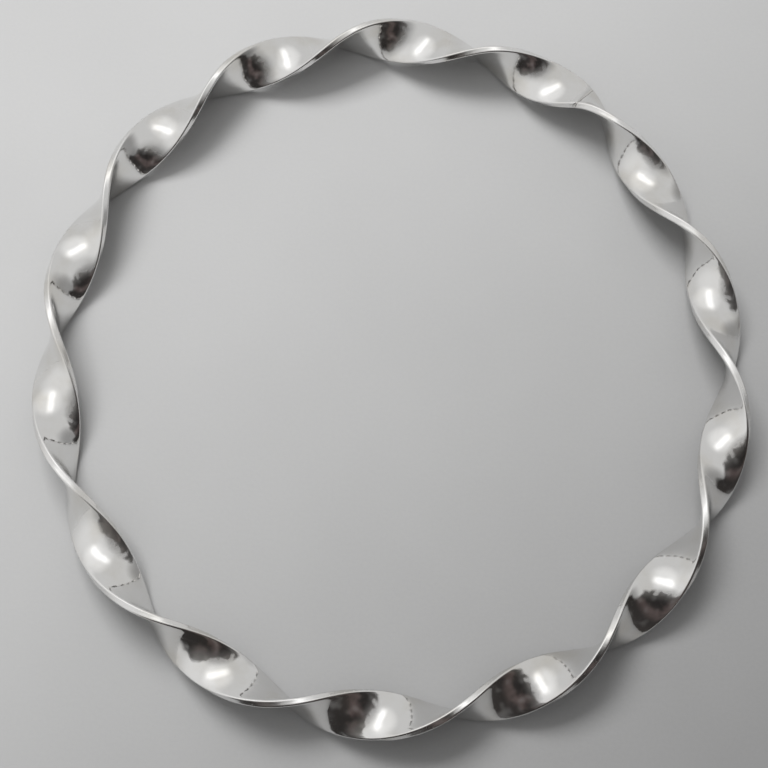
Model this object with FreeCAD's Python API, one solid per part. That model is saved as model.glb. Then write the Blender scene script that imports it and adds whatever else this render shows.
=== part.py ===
import FreeCAD, Part
import math
import os

# Bangle bent from one flat silver strip: the strip is twisted seven full turns, left-handed,
# closed into a ring and soldered end to end.
# Units are millimetres and degrees. +Z is up, and the origin is under the middle of the ring,
# on the surface that the bangle lies on. A bearing is counted clockwise from +Y, seen from above.

# Flat strip
STRIP_WIDTH = 4.5
STRIP_THICKNESS = 0.8
CORNER_BREAK = 0.1  # flat filed on each long corner

# Ring. At each whole station number the strip stands on edge, half a turn after the last one.
LOBES = 14
RING_RADIUS = 34.0
FIRST_STATION_BEARING = -8.0
LOBE_FLATNESS = 0.3  # how far the middle of each flat lobe lies inside the smooth ring

# Bending by hand leaves the ring slightly out of round, and its stations slightly uneven.
# Each wave is (crests round the ring, height, bearing of a crest).
RADIUS_WAVES = ((2, 0.8, -14.0), (3, 0.26, -9.0), (4, 0.14, 8.0))
BEARING_WAVES = ((1, 2.2, -16.0), (2, 1.0, -39.0))

# Solder seam, filed flush with the strip. The two ends meet at a slight corner, which stands
# proud of the ring.
SEAM_STATION = 1.7
SEAM_LENGTH = 0.15  # along the ring
SEAM_RISE = 1.2
SEAM_RISE_REACH = 0.29  # in stations

# How finely the curves are laid out
SAMPLES_PER_LOBE = 16
TANGENT_STEP = 0.01  # in stations
FORWARD = 1  # both edges of a ruled face run the same way

# The lowest corner of the turning strip just touches Z = 0.
CENTRE_HEIGHT = math.hypot(STRIP_WIDTH / 2, STRIP_THICKNESS / 2 - CORNER_BREAK)


def wave_sum(waves, bearing):
    return sum(h * math.cos(n * math.radians(bearing - crest)) for n, h, crest in waves)


def seam_rise(station):
    """How far the ring stands proud near the seam."""
    from_seam = (station - SEAM_STATION + LOBES / 2) % LOBES - LOBES / 2
    return SEAM_RISE * math.exp(-((from_seam / SEAM_RISE_REACH) ** 2))


def ring_point(station):
    """Middle of the strip, in plan."""
    even_bearing = 360.0 * station / LOBES
    bearing = FIRST_STATION_BEARING + even_bearing + wave_sum(BEARING_WAVES, even_bearing)
    flattening = LOBE_FLATNESS * (1 - math.cos(2 * math.pi * station)) / 2
    radius = RING_RADIUS + wave_sum(RADIUS_WAVES, bearing) + seam_rise(station) - flattening
    angle = math.radians(bearing)
    return FreeCAD.Vector(radius * math.sin(angle), radius * math.cos(angle), 0)


def travel_per_station(station):
    """How fast, and which way, the strip's middle moves as the station number grows."""
    after = ring_point(station + TANGENT_STEP)
    before = ring_point(station - TANGENT_STEP)
    return (after - before) * (0.5 / TANGENT_STEP)


def strip_directions(station):
    """Unit vectors across the strip's width and through its thickness."""
    travel = travel_per_station(station).normalize()
    up = FreeCAD.Vector(0, 0, 1)
    outward = up.cross(travel)
    twist = math.pi / 2 + math.pi * station
    across = up * math.sin(twist) - outward * math.cos(twist)
    through = outward * math.sin(twist) + up * math.cos(twist)
    return across, through


def strip_corners():
    """The strip's cross-section as (across, through), in order round the outline."""
    half_w = STRIP_WIDTH / 2
    half_t = STRIP_THICKNESS / 2
    quarter = [(half_w, half_t - CORNER_BREAK), (half_w - CORNER_BREAK, half_t)]
    half = quarter + [(-a, t) for a, t in reversed(quarter)]
    return half + [(-a, -t) for a, t in half]


def corner_point(station, corner):
    across, through = strip_directions(station)
    return ring_point(station) + across * corner[0] + through * corner[1]


def ring_centre():
    """Middle of the ring's bounding box in plan, so that the ring can be put over the origin."""
    stations = [k / SAMPLES_PER_LOBE for k in range(LOBES * SAMPLES_PER_LOBE)]
    points = [corner_point(s, corner) for s in stations for corner in strip_corners()]
    xs = [p.x for p in points]
    ys = [p.y for p in points]
    return FreeCAD.Vector((min(xs) + max(xs)) / 2, (min(ys) + max(ys)) / 2, 0)


def lobe_faces(first, last, move):
    """Ruled faces round the strip between two stations, and the outline at each end."""
    stations = [first + (last - first) * k / SAMPLES_PER_LOBE for k in range(SAMPLES_PER_LOBE + 1)]
    edges = []
    outlines = []
    for corner in strip_corners():
        points = [corner_point(s, corner) + move for s in stations]
        end_tangents = [
            (corner_point(s + TANGENT_STEP, corner) - corner_point(s - TANGENT_STEP, corner))
            * (0.5 / TANGENT_STEP)
            for s in (first, last)
        ]
        curve = Part.BSplineCurve()
        curve.interpolate(
            Points=points,
            Parameters=stations,
            InitialTangent=end_tangents[0],
            FinalTangent=end_tangents[1],
            Scale=False,
        )
        edges.append(curve.toShape())
        outlines.append((points[0], points[-1]))
    faces = [Part.makeRuledSurface(a, b, FORWARD) for a, b in zip(edges, edges[1:] + edges[:1])]
    return faces, outlines


def twisted_bar(cuts):
    """Solid of the strip between the first and last of the stations in cuts."""
    move = FreeCAD.Vector(0, 0, CENTRE_HEIGHT) - ring_centre()
    faces = []
    ends = []
    for first, last in zip(cuts, cuts[1:]):
        sides, outlines = lobe_faces(first, last, move)
        faces += sides
        ends.append(outlines)
    for rim in ([start for start, end in ends[0]], [end for start, end in ends[-1]]):
        faces.append(Part.Face(Part.makePolygon(rim + rim[:1])))

    shell = Part.makeShell(faces)
    shell.sewShape()
    solid = Part.makeSolid(shell)
    if solid.Volume < 0:
        solid.reverse()
    return solid


def half_seam():
    """Half the seam's length, in stations."""
    return SEAM_LENGTH / 2 / travel_per_station(SEAM_STATION).Length


def twisted_band():
    after_seam = SEAM_STATION + half_seam()
    before_seam = SEAM_STATION + LOBES - half_seam()
    stations_between = [SEAM_STATION + lobe for lobe in range(1, LOBES)]
    return twisted_bar([after_seam, *stations_between, before_seam])


def solder_seam():
    return twisted_bar([SEAM_STATION - half_seam(), SEAM_STATION + half_seam()])


os.makedirs("parts", exist_ok=True)
twisted_band().exportStep("parts/twisted_band.step")
solder_seam().exportStep("parts/solder_seam.step")
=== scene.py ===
import math

import bpy
import numpy as np
from mathutils import Matrix, Vector


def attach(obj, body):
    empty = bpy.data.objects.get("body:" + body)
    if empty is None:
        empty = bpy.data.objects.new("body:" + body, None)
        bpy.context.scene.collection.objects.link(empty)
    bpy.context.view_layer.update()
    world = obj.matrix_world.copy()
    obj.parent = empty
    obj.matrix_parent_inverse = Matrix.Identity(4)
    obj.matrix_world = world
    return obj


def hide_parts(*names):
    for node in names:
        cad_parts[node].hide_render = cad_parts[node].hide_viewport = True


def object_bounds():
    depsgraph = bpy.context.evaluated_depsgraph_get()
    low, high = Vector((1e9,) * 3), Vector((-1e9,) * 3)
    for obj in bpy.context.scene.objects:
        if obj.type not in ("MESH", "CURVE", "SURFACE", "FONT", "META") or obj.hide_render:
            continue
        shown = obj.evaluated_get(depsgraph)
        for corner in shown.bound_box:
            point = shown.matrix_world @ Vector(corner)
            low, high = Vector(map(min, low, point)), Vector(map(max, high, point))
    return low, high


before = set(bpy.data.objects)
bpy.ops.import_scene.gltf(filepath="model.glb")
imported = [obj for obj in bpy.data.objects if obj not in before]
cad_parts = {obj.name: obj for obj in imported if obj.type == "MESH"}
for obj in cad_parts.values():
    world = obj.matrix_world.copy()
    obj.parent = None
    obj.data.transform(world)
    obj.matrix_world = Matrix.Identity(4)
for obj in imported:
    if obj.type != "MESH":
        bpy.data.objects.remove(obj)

MM = 0.001

# Flat strip, as in the CAD model, with its corners rounded instead of filed flat
STRIP_WIDTH = 4.5 * MM
STRIP_THICKNESS = 0.8 * MM
CORNER_RADIUS = 0.2 * MM

# Ring, as in the CAD model. A station is a place where the strip stands on edge. A bearing is in
# degrees, clockwise from +Y. Each wave is (crests round the ring, height, bearing of a crest).
LOBES = 14
RING_RADIUS = 34.0 * MM
FIRST_STATION_BEARING = -8.0
LOBE_FLATNESS = 0.3 * MM
RADIUS_WAVES = ((2, 0.8 * MM, -14.0), (3, 0.26 * MM, -9.0), (4, 0.14 * MM, 8.0))
BEARING_WAVES = ((1, 2.2, -16.0), (2, 1.0, -39.0))
SEAM_STATION = 1.7
SEAM_LENGTH = 0.15 * MM
SEAM_RISE = 1.2 * MM
SEAM_RISE_REACH = 0.29  # in stations

# How finely the meshes are laid out
STATIONS_PER_LOBE = 60
SEAM_STATIONS = 6
CORNER_STEPS = 5
WIDTH_STEPS = 16
THICKNESS_STEPS = 4
TANGENT_STEP = 0.01  # in stations

# Hand work on the strip: shallow hollows left by the pliers and the polishing wheel
RIPPLE_SEED = 7
RIPPLES = 26
RIPPLE_HEIGHT = 0.0055 * MM
RIPPLE_LENGTHS = (1.6 * MM, 5.0 * MM)

# Textures. Each NOISE is (scale, detail), and its SPAN is the part of its values that is used. The
# scale is in patches per millimetre on the strip, per metre on the floor, and per radius on the
# card's dome. Each STRETCH is the patches per millimetre along the lines, across them in the
# strip's flat, and through its thickness.

# Finish on the metal. Each pair of colours is (bright, dull). A roughness that is given as a pair
# varies between the two.
SILVER_COLOURS = ((0.82, 0.815, 0.805), (0.74, 0.72, 0.68))
SILVER_ROUGHNESS = (0.06, 0.13)
SMUDGE_NOISE = (0.45, 4)
SMUDGE_SPAN = (0.35, 0.75)
TARNISH_NOISE = (0.3, 3)
TARNISH_SPAN = (0.4, 0.8)
LINE_STRETCH = (0.25, 16, 16)
LINE_NOISE = (1, 3)
LINE_SPAN = (0.5, 0.8)
LINE_ROUGHNESS = 0.05
LINE_DEPTH = 0.0004 * MM
SCRATCH_HEADINGS = (4, -13, 31, 74)
SCRATCH_STRETCH = (0.12, 7, 7)
SCRATCH_NOISE = (1, 2)
SCRATCH_SPAN = (0.7, 0.76)
SCRATCH_ROUGHNESS = 0.12
SCRATCH_DEPTH = 0.0006 * MM
WAVE_NOISE = (1.1, 1)
WAVE_DEPTH = 0.008 * MM
EDGE_START, EDGE_END = 2.05, 2.2  # millimetres from the middle of the strip's width
EDGE_ROUGHNESS = 0.1
SOLDER_COLOURS = ((0.81, 0.797, 0.77), (0.76, 0.74, 0.7))
SOLDER_NOISE = (9, 3)
SOLDER_SPAN = (0.3, 0.8)
SOLDER_ROUGHNESS = (0.09, 0.2)
SOLDER_DEPTH = 0.006 * MM

# Camera: it looks down, tilted towards +Y, and leans a little to one side
CAMERA_PLACE = Vector((0.4, -36.08, 125.55)) * MM
CAMERA_TILT = 15.07
CAMERA_LEAN = 0.38
CAMERA_LENS = 60.94  # millimetres, on a sensor 36 mm wide
SENSOR_WIDTH = 36.0

# Floor. Its tone rises across the ring, along the reach given below, towards the azimuth given
# below: painted shade and light, darker on the near right where shade falls and paler on the far
# left where the light falls. It gives way to one even tone over FLOOR_FAR_REACH, which is counted
# outwards from the ring's middle.
FLOOR_SIZE = 6.0
FLOOR_PAINTED_LIGHT_SIDE = 130  # azimuth
FLOOR_PAINTED_SHADE_REACH = (-105 * MM, 50 * MM)
FLOOR_PAINTED_SHADE_TONES = (0.115, 0.405)
FLOOR_FAR_REACH = (60 * MM, 230 * MM)
FLOOR_FAR_TONE = 0.36
FLOOR_MOTTLE = 0.006
FLOOR_MOTTLE_NOISE = (60, 4)
FLOOR_GRAIN = 0.01 * MM
FLOOR_GRAIN_NOISE = (2500, 3)
FLOOR_SPAN = (0.2, 0.8)
FLOOR_ROUGHNESS = (0.7, 0.9)

# Soft lamp. A direction is (azimuth anticlockwise from +X, elevation), in degrees. The lamp
# stands in LAMP_DIRECTION from the ring's middle, and is turned towards LAMP_AIM.
LAMP_DIRECTION = (116, 47)
LAMP_AIM = Vector((-20, 15, 0)) * MM
LAMP_HEADING = 22
LAMP_DISTANCE = 1.65  # metres
LAMP_SIZE = (1.08, 0.54)  # metres
LAMP_POWER = 35.5  # watts

# Sky. Each glow is (direction, where it ends, where it is full, in degrees from that direction,
# and height); a glow of negative height dims the sky. The streak is a long bright strip in it, for
# the long highlight on the metal. Its halves are (where it ends, where it is full) in degrees.
SKY_COLOUR = (1.0, 0.998, 0.993)
SKY_LEVEL = 0.64
SKY_GLOWS = (
    ((114, 59), 36, 8, 0.26),
    ((185, 45), 45, 5, 0.15),
    ((0, 4), 40, 12, -0.33),
    ((-75, 20), 68, 30, -0.38),
)
STREAK_DIRECTION = (114, 65)
STREAK_HEADING = 22
STREAK_HALF_LENGTH = (29, 12)
STREAK_HALF_WIDTH = (12, 1.5)
STREAK_HEIGHT = 0.5

# Dark card: part of a dome round the ring. It is opaque within CARD_COVER and partly so within
# CARD_FRINGE, each given like a glow, and clear elsewhere. It is brown within CARD_BROWN_PART, and
# darkens towards its foot over CARD_FOOT_REACH, given as heights on a dome of radius 1.
CARD_RADIUS = 105 * MM
CARD_AZIMUTHS = (-150, 20)
CARD_TOP = 88  # elevation
CARD_STEPS = (60, 24)  # round the dome and up it
CARD_COVER = ((-70, 13), 63, 54)
CARD_FRINGE = ((-72, 45), 46, 30, 0.45)
CARD_RAGGEDNESS = 0.1
CARD_EDGE_NOISE = (3, 1)
CARD_EDGE_SPAN = (0.3, 0.7)
CARD_GREY = (0.38, 0.37, 0.36)
CARD_BROWN_PART = ((-65, 10), 72, 40)
CARD_BROWNS = ((0.05, 0.045, 0.044), (0.155, 0.121, 0.116))
CARD_BLOTCH_NOISE = (2, 2)
CARD_BLOTCH_SPAN = (0.4, 0.62)
CARD_FOOT_REACH = (0.26, 0.6)
CARD_FOOT_COLOUR = (0.034, 0.031, 0.03)
# The card's flecks glow faintly: painted glints, though the card is no lamp.
CARD_PAINTED_GLINT_NOISE = (4, 0)
CARD_PAINTED_GLINT_SPAN = (0.5, 0.8)
CARD_PAINTED_GLINT_GLOW = 0.07

rng = np.random.default_rng(RIPPLE_SEED)


# ---------------------------------------------------------------- shape

def wave_sum(waves, bearing):
    return sum(h * np.cos(n * np.radians(bearing - crest)) for n, h, crest in waves)


def seam_rise(stations):
    """How far the ring stands proud near the seam."""
    from_seam = (stations - SEAM_STATION + LOBES / 2) % LOBES - LOBES / 2
    return SEAM_RISE * np.exp(-((from_seam / SEAM_RISE_REACH) ** 2))


def ring_points(stations):
    """Middle of the strip, in plan, at each station."""
    even = 360.0 * stations / LOBES
    bearing = FIRST_STATION_BEARING + even + wave_sum(BEARING_WAVES, even)
    flattening = LOBE_FLATNESS * (1 - np.cos(2 * np.pi * stations)) / 2
    radius = RING_RADIUS + wave_sum(RADIUS_WAVES, bearing) + seam_rise(stations) - flattening
    angle = np.radians(bearing)
    return np.stack([radius * np.sin(angle), radius * np.cos(angle), 0 * angle], axis=-1)


def strip_directions(stations):
    """Unit vectors across the strip's width and through its thickness, at each station."""
    travel = ring_points(stations + TANGENT_STEP) - ring_points(stations - TANGENT_STEP)
    travel /= np.linalg.norm(travel, axis=-1, keepdims=True)
    up = np.array([0.0, 0.0, 1.0])
    outward = np.cross(up, travel)
    twist = (np.pi / 2 + np.pi * stations)[:, None]
    across = up * np.sin(twist) - outward * np.cos(twist)
    through = outward * np.sin(twist) + up * np.cos(twist)
    return across, through


def rounded_section(width, thickness, radius):
    """Outline of the strip's cross-section as (across, through) points, anticlockwise."""
    half_w = width / 2 - radius
    half_t = thickness / 2 - radius
    centres = ((half_w, half_t), (-half_w, half_t), (-half_w, -half_t), (half_w, -half_t))
    steps_after = (WIDTH_STEPS, THICKNESS_STEPS, WIDTH_STEPS, THICKNESS_STEPS)
    outline = []
    for k, (a, t) in enumerate(centres):
        for step in range(CORNER_STEPS + 1):
            angle = math.pi / 2 * (k + step / CORNER_STEPS)
            outline.append((a + radius * math.cos(angle), t + radius * math.sin(angle)))
        turn = math.pi / 2 * (k + 1)
        next_a, next_t = centres[(k + 1) % 4]
        start = np.array([a + radius * math.cos(turn), t + radius * math.sin(turn)])
        end = np.array([next_a + radius * math.cos(turn), next_t + radius * math.sin(turn)])
        for step in range(1, steps_after[k]):
            outline.append(tuple(start + (end - start) * step / steps_after[k]))
    return np.array(outline)


def ripple(along, across):
    """Height of the hand-worked ripples at places on the strip, in metres."""
    height = np.zeros(np.broadcast(along, across).shape)
    for _ in range(RIPPLES):
        length = rng.uniform(*RIPPLE_LENGTHS)
        heading = rng.uniform(0, 2 * np.pi)
        phase = rng.uniform(0, 2 * np.pi)
        path = along * math.cos(heading) + across * math.sin(heading)
        height += np.sin(2 * np.pi * path / length + phase)
    return RIPPLE_HEIGHT * height / math.sqrt(RIPPLES)


def swept_strip(name, first, last, count, section):
    """Mesh of the section swept along the ring between two stations, closed at both ends."""
    stations = np.linspace(first, last, count)
    centre = ring_points(stations)
    across, through = strip_directions(stations)
    steps = np.linalg.norm(np.diff(centre, axis=0), axis=1)
    along = np.concatenate([[0.0], np.cumsum(steps)])
    a = section[None, :, 0]
    t = section[None, :, 1] + ripple(along[:, None], section[None, :, 0])
    verts = centre[:, None, :] + across[:, None, :] * a[..., None] + through[:, None, :] * t[..., None]

    n = len(section)
    faces = []
    for i in range(count - 1):
        for j in range(n):
            k = (j + 1) % n
            faces.append((i * n + j, i * n + k, (i + 1) * n + k, (i + 1) * n + j))
    faces.append(tuple(range(n - 1, -1, -1)))
    faces.append(tuple(range((count - 1) * n, count * n)))

    mesh = bpy.data.meshes.new(name)
    mesh.from_pydata(verts.reshape(-1, 3).tolist(), [], faces)
    mesh.polygons.foreach_set("use_smooth", [True] * (len(faces) - 2) + [False] * 2)
    strip_place = mesh.attributes.new("strip_place", "FLOAT_VECTOR", "POINT")
    place = np.stack(np.broadcast_arrays(along[:, None], a, section[None, :, 1]), axis=-1)
    strip_place.data.foreach_set("vector", place.reshape(-1).astype(np.float32))
    mesh.update()
    piece = bpy.data.objects.new(name, mesh)
    bpy.context.collection.objects.link(piece)
    return piece


def put_over_cad(pieces):
    """Moves the new meshes, all together, so that their box has the CAD model's middle."""
    corners = []
    for piece in pieces:
        corners += [v.co for v in piece.data.vertices]
    places = np.array(corners)
    middle = (places.min(axis=0) + places.max(axis=0)) / 2
    cad_low, cad_high = (np.array(c) for c in CAD_BOX)
    shift = Vector((cad_low + cad_high) / 2 - middle)
    for piece in pieces:
        for v in piece.data.vertices:
            v.co += shift


def half_seam():
    ends = ring_points(np.array([SEAM_STATION - TANGENT_STEP, SEAM_STATION + TANGENT_STEP]))
    length_per_station = np.linalg.norm(ends[1] - ends[0]) / (2 * TANGENT_STEP)
    return SEAM_LENGTH / 2 / length_per_station


# ---------------------------------------------------------------- materials

def new_material(name):
    material = bpy.data.materials.new(name)
    material.use_nodes = True
    nodes = material.node_tree.nodes
    return material, nodes, material.node_tree.links, nodes["Principled BSDF"]


def strip_place(nodes, links):
    """Place on the strip in millimetres: along it, across its width, through its thickness."""
    attribute = nodes.new("ShaderNodeAttribute")
    attribute.attribute_name = "strip_place"
    scale = nodes.new("ShaderNodeVectorMath")
    scale.operation = "SCALE"
    links.new(attribute.outputs["Vector"], scale.inputs[0])
    scale.inputs["Scale"].default_value = 1 / MM
    return scale.outputs["Vector"]


def stretched(nodes, links, place, heading, scale):
    """Place turned by heading degrees in the strip's flat, then scaled along each axis."""
    turn = nodes.new("ShaderNodeMapping")
    turn.vector_type = "TEXTURE"
    turn.inputs["Rotation"].default_value = (0, 0, math.radians(heading))
    turn.inputs["Scale"].default_value = [1 / size for size in scale]
    links.new(place, turn.inputs["Vector"])
    return turn.outputs["Vector"]


def noise(nodes, links, place, scale, detail):
    texture = nodes.new("ShaderNodeTexNoise")
    texture.inputs["Scale"].default_value = scale
    texture.inputs["Detail"].default_value = detail
    links.new(place, texture.inputs["Vector"])
    return texture.outputs[0]


def spread(nodes, links, value, from_low, from_high, to_low, to_high):
    """Value carried from one range to another, clamped at both ends."""
    ramp = nodes.new("ShaderNodeMapRange")
    ramp.interpolation_type = "SMOOTHSTEP"
    links.new(value, ramp.inputs["Value"])
    for socket, number in (
        ("From Min", from_low), ("From Max", from_high), ("To Min", to_low), ("To Max", to_high)
    ):
        ramp.inputs[socket].default_value = number
    return ramp.outputs["Result"]


def total(nodes, links, values, base=0):
    """Sum of the values and the number base."""
    result = None
    for value in values:
        add = nodes.new("ShaderNodeMath")
        links.new(value, add.inputs[0])
        if result is None:
            add.inputs[1].default_value = base
        else:
            links.new(result, add.inputs[1])
        result = add.outputs["Value"]
    return result


def mixed(nodes, links, factor, low, high):
    """Mix of two colours, each given as three numbers or as a node's output."""
    mix = nodes.new("ShaderNodeMix")
    mix.data_type = "RGBA"
    links.new(factor, mix.inputs["Factor"])
    for name, colour in (("A", low), ("B", high)):
        if isinstance(colour, tuple):
            mix.inputs[name].default_value = (*colour, 1)
        else:
            links.new(colour, mix.inputs[name])
    return mix.outputs["Result"]


def bumped(nodes, links, shader, heights):
    """Adds (height, depth in metres) reliefs to the shader's normal, one over another."""
    normal = None
    for height, depth in heights:
        bump = nodes.new("ShaderNodeBump")
        bump.inputs["Distance"].default_value = depth
        links.new(height, bump.inputs["Height"])
        if normal is not None:
            links.new(normal, bump.inputs["Normal"])
        normal = bump.outputs["Normal"]
    links.new(normal, shader.inputs["Normal"])


def scratches(nodes, links, place, headings):
    """1 on a few thin scratches that run each way in headings, else 0."""
    lines = []
    for heading in headings:
        long_place = stretched(nodes, links, place, heading, SCRATCH_STRETCH)
        line = noise(nodes, links, long_place, *SCRATCH_NOISE)
        lines.append(spread(nodes, links, line, *SCRATCH_SPAN, 0, 1))
    return total(nodes, links, lines)


def width_place(nodes, links, place):
    """Distance from the middle of the strip's width, in millimetres."""
    parts = nodes.new("ShaderNodeSeparateXYZ")
    links.new(place, parts.inputs["Vector"])
    size = nodes.new("ShaderNodeMath")
    size.operation = "ABSOLUTE"
    links.new(parts.outputs["Y"], size.inputs[0])
    return size.outputs["Value"]


def polished_silver():
    """Sterling silver, hand polished: nearly a mirror, with fine lines, scratches and smudges."""
    material, nodes, links, shader = new_material("polished_silver")
    place = strip_place(nodes, links)
    smudge = noise(nodes, links, place, *SMUDGE_NOISE)
    lines = noise(nodes, links, stretched(nodes, links, place, 0, LINE_STRETCH), *LINE_NOISE)
    scored = scratches(nodes, links, place, SCRATCH_HEADINGS)
    waves = noise(nodes, links, place, *WAVE_NOISE)
    tarnish = noise(nodes, links, place, *TARNISH_NOISE)
    edge = width_place(nodes, links, place)

    roughness = [
        spread(nodes, links, smudge, *SMUDGE_SPAN, *SILVER_ROUGHNESS),
        spread(nodes, links, lines, *LINE_SPAN, 0, LINE_ROUGHNESS),
        spread(nodes, links, scored, 0, 1, 0, SCRATCH_ROUGHNESS),
        spread(nodes, links, edge, EDGE_START, EDGE_END, 0, EDGE_ROUGHNESS),
    ]
    links.new(total(nodes, links, roughness), shader.inputs["Roughness"])
    tarnished = spread(nodes, links, tarnish, *TARNISH_SPAN, 0, 1)
    links.new(mixed(nodes, links, tarnished, *SILVER_COLOURS), shader.inputs["Base Color"])
    shader.inputs["Metallic"].default_value = 1.0
    reliefs = ((waves, WAVE_DEPTH), (lines, LINE_DEPTH), (scored, -SCRATCH_DEPTH))
    bumped(nodes, links, shader, reliefs)
    return material


def hard_solder():
    """Hard silver solder, filed flush: slightly yellower and duller than the silver."""
    material, nodes, links, shader = new_material("hard_solder")
    place = strip_place(nodes, links)
    grain = noise(nodes, links, place, *SOLDER_NOISE)
    roughness = spread(nodes, links, grain, *SOLDER_SPAN, *SOLDER_ROUGHNESS)
    links.new(roughness, shader.inputs["Roughness"])
    links.new(mixed(nodes, links, grain, *SOLDER_COLOURS), shader.inputs["Base Color"])
    shader.inputs["Metallic"].default_value = 1.0
    bumped(nodes, links, shader, ((grain, SOLDER_DEPTH),))
    return material


def pale_floor():
    """Matt board with painted shade and light: darker towards the near right and paler towards the far
    left; even well away from the ring.
    """
    material, nodes, links, shader = new_material("pale_floor")
    place = nodes.new("ShaderNodeNewGeometry").outputs["Position"]
    # Painted shade and light: the tone darkens towards the near right and pales towards the far left.
    painted_shade_slope = dot(nodes, links, place, direction(FLOOR_PAINTED_LIGHT_SIDE, 0))
    away = nodes.new("ShaderNodeVectorMath")
    away.operation = "LENGTH"
    links.new(place, away.inputs[0])
    mottle = noise(nodes, links, place, *FLOOR_MOTTLE_NOISE)
    near = [
        spread(nodes, links, painted_shade_slope, *FLOOR_PAINTED_SHADE_REACH, *FLOOR_PAINTED_SHADE_TONES),
        spread(nodes, links, mottle, *FLOOR_SPAN, -FLOOR_MOTTLE, FLOOR_MOTTLE),
    ]
    far = spread(nodes, links, away.outputs["Value"], *FLOOR_FAR_REACH, 0, 1)
    tone = mixed(nodes, links, far, total(nodes, links, near), (FLOOR_FAR_TONE,) * 3)
    links.new(tone, shader.inputs["Base Color"])
    grain = noise(nodes, links, place, *FLOOR_GRAIN_NOISE)
    roughness = spread(nodes, links, grain, *FLOOR_SPAN, *FLOOR_ROUGHNESS)
    links.new(roughness, shader.inputs["Roughness"])
    bumped(nodes, links, shader, ((grain, FLOOR_GRAIN),))
    return material


# ---------------------------------------------------------------- studio

def add_floor():
    bpy.ops.mesh.primitive_plane_add(size=FLOOR_SIZE)
    floor = bpy.context.object
    floor.name = "floor"
    floor.data.materials.append(pale_floor())


def direction(azimuth, elevation):
    """Unit vector: azimuth in degrees anticlockwise from +X, elevation above the horizon."""
    a, e = math.radians(azimuth), math.radians(elevation)
    return Vector((math.cos(a) * math.cos(e), math.sin(a) * math.cos(e), math.sin(e)))


def add_lamp():
    """Long soft lamp. It lights the scene but makes no highlight, which the sky's streak does."""
    light = bpy.data.lights.new("lamp", "AREA")
    light.shape = "RECTANGLE"
    light.size, light.size_y = LAMP_SIZE
    light.energy = LAMP_POWER
    lamp = bpy.data.objects.new("lamp", light)
    place = direction(*LAMP_DIRECTION) * LAMP_DISTANCE
    back = (place - LAMP_AIM).normalized()
    across = back.cross(direction(LAMP_HEADING, 0)).normalized()
    axes = Matrix((across.cross(back), across, back)).transposed().to_4x4()
    lamp.matrix_world = Matrix.Translation(place) @ axes
    lamp.visible_camera = False
    lamp.visible_glossy = False
    bpy.context.collection.objects.link(lamp)


def add_dark_card():
    """Curved dark card on the near side, close to the ring, seen only in its reflections."""
    columns, rows = CARD_STEPS
    verts = []
    for i in range(columns + 1):
        azimuth = CARD_AZIMUTHS[0] + (CARD_AZIMUTHS[1] - CARD_AZIMUTHS[0]) * i / columns
        for j in range(rows + 1):
            elevation = CARD_TOP * j / rows
            verts.append(direction(azimuth, elevation) * CARD_RADIUS)
    faces = []
    for i in range(columns):
        for j in range(rows):
            k = i * (rows + 1) + j
            faces.append((k, k + 1, k + rows + 2, k + rows + 1))
    mesh = bpy.data.meshes.new("dark_card")
    mesh.from_pydata(verts, [], faces)
    card = bpy.data.objects.new("dark_card", mesh)
    bpy.context.collection.objects.link(card)
    card.data.materials.append(card_material())
    card.visible_camera = False
    card.visible_diffuse = False
    card.visible_shadow = False


def dot(nodes, links, place, vector):
    product = nodes.new("ShaderNodeVectorMath")
    product.operation = "DOT_PRODUCT"
    links.new(place, product.inputs[0])
    product.inputs[1].default_value = vector
    return product.outputs["Value"]


def facing(nodes, links, place, towards, outer, inner, height=1, ragged=None):
    """height where a direction is within inner degrees of towards, and 0 beyond outer degrees."""
    nearness = dot(nodes, links, place, direction(*towards))
    if ragged is not None:
        nearness = total(nodes, links, [nearness, ragged])
    outer, inner = (math.cos(math.radians(angle)) for angle in (outer, inner))
    return spread(nodes, links, nearness, outer, inner, 0, height)


def card_material():
    """Matt dark card with a ragged edge, brown blotches, a darker foot and painted glints: faint
    flecks that glow.
    """
    material, nodes, links, shader = new_material("dark_card")
    shader.inputs["Roughness"].default_value = 1.0
    shader.inputs["Specular IOR Level"].default_value = 0.0
    geometry = nodes.new("ShaderNodeNewGeometry")
    unit = nodes.new("ShaderNodeVectorMath")
    unit.operation = "NORMALIZE"
    links.new(geometry.outputs["Position"], unit.inputs[0])
    around = unit.outputs["Vector"]

    edge = noise(nodes, links, around, *CARD_EDGE_NOISE)
    ragged = spread(nodes, links, edge, *CARD_EDGE_SPAN, -CARD_RAGGEDNESS, CARD_RAGGEDNESS)
    cover = [
        facing(nodes, links, around, *CARD_COVER, ragged=ragged),
        facing(nodes, links, around, *CARD_FRINGE),
    ]
    links.new(total(nodes, links, cover), shader.inputs["Alpha"])

    patches = noise(nodes, links, around, *CARD_BLOTCH_NOISE)
    blotch = spread(nodes, links, patches, *CARD_BLOTCH_SPAN, 0, 1)
    brown = mixed(nodes, links, blotch, *CARD_BROWNS)
    brown_part = facing(nodes, links, around, *CARD_BROWN_PART)
    tone = mixed(nodes, links, brown_part, CARD_GREY, brown)
    up = dot(nodes, links, around, direction(0, 90))
    foot = spread(nodes, links, up, *CARD_FOOT_REACH, 1, 0)
    links.new(mixed(nodes, links, foot, tone, CARD_FOOT_COLOUR), shader.inputs["Base Color"])

    # Painted glints: faint flecks on the card glow, though the card is no lamp.
    painted_glint_noise = noise(nodes, links, around, *CARD_PAINTED_GLINT_NOISE)
    glow = spread(nodes, links, painted_glint_noise, *CARD_PAINTED_GLINT_SPAN, 0, CARD_PAINTED_GLINT_GLOW)
    links.new(glow, shader.inputs["Emission Strength"])
    return material


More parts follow.
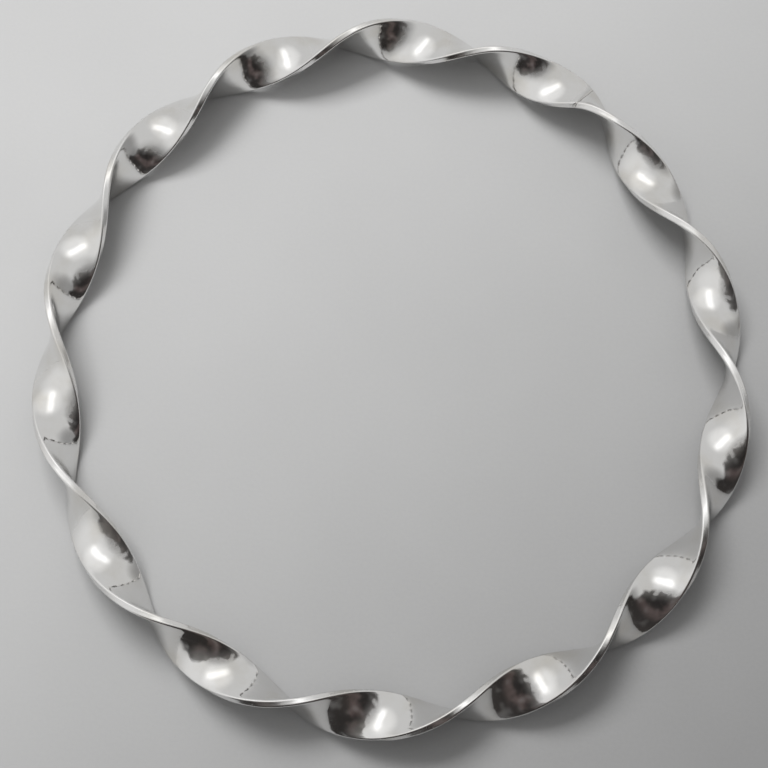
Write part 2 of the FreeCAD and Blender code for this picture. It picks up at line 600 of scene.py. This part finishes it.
def streak(nodes, links, place):
    """Long soft strip: one part fades along it, and the other across it."""
    across = direction(*STREAK_DIRECTION).cross(direction(STREAK_HEADING, 0)).normalized()
    length = facing(nodes, links, place, STREAK_DIRECTION, *STREAK_HALF_LENGTH)
    width = nodes.new("ShaderNodeMath")
    width.operation = "ABSOLUTE"
    links.new(dot(nodes, links, place, across), width.inputs[0])
    outer, inner = (math.sin(math.radians(angle)) for angle in STREAK_HALF_WIDTH)
    height = spread(nodes, links, width.outputs["Value"], inner, outer, STREAK_HEIGHT, 0)
    both = nodes.new("ShaderNodeMath")
    both.operation = "MULTIPLY"
    links.new(length, both.inputs[0])
    links.new(height, both.inputs[1])
    return both.outputs["Value"]


def add_sky():
    world = bpy.data.worlds.new("studio")
    bpy.context.scene.world = world
    world.use_nodes = True
    nodes = world.node_tree.nodes
    links = world.node_tree.links
    place = nodes.new("ShaderNodeTexCoord").outputs["Generated"]
    lights = [streak(nodes, links, place)]
    for glow in SKY_GLOWS:
        lights.append(facing(nodes, links, place, *glow))
    links.new(total(nodes, links, lights, SKY_LEVEL), nodes["Background"].inputs["Strength"])
    nodes["Background"].inputs["Color"].default_value = (*SKY_COLOUR, 1)


def add_camera():
    data = bpy.data.cameras.new("camera")
    data.lens = CAMERA_LENS
    data.sensor_width = SENSOR_WIDTH
    data.clip_start = 1 * MM
    camera = bpy.data.objects.new("camera", data)
    tilt = Matrix.Rotation(math.radians(CAMERA_TILT), 4, "X")
    lean = Matrix.Rotation(math.radians(CAMERA_LEAN), 4, "Y")
    camera.matrix_world = Matrix.Translation(CAMERA_PLACE) @ tilt @ lean
    bpy.context.collection.objects.link(camera)
    bpy.context.scene.camera = camera


CAD_BOX = [list(corner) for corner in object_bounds()]

section = rounded_section(STRIP_WIDTH, STRIP_THICKNESS, CORNER_RADIUS)
band = swept_strip(
    "band",
    SEAM_STATION + half_seam(),
    SEAM_STATION + LOBES - half_seam(),
    LOBES * STATIONS_PER_LOBE + 1,
    section,
)
seam = swept_strip(
    "seam", SEAM_STATION - half_seam(), SEAM_STATION + half_seam(), SEAM_STATIONS, section
)
put_over_cad([band, seam])
band.data.materials.append(polished_silver())
seam.data.materials.append(hard_solder())
for piece, node, slot in ((band, "twisted_band", "silver"), (seam, "solder_seam", "hard_solder")):
    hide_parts(node)
    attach(piece, "root")

add_floor()
add_sky()
add_dark_card()
add_lamp()
add_camera()
bpy.context.scene.view_settings.view_transform = "Standard"
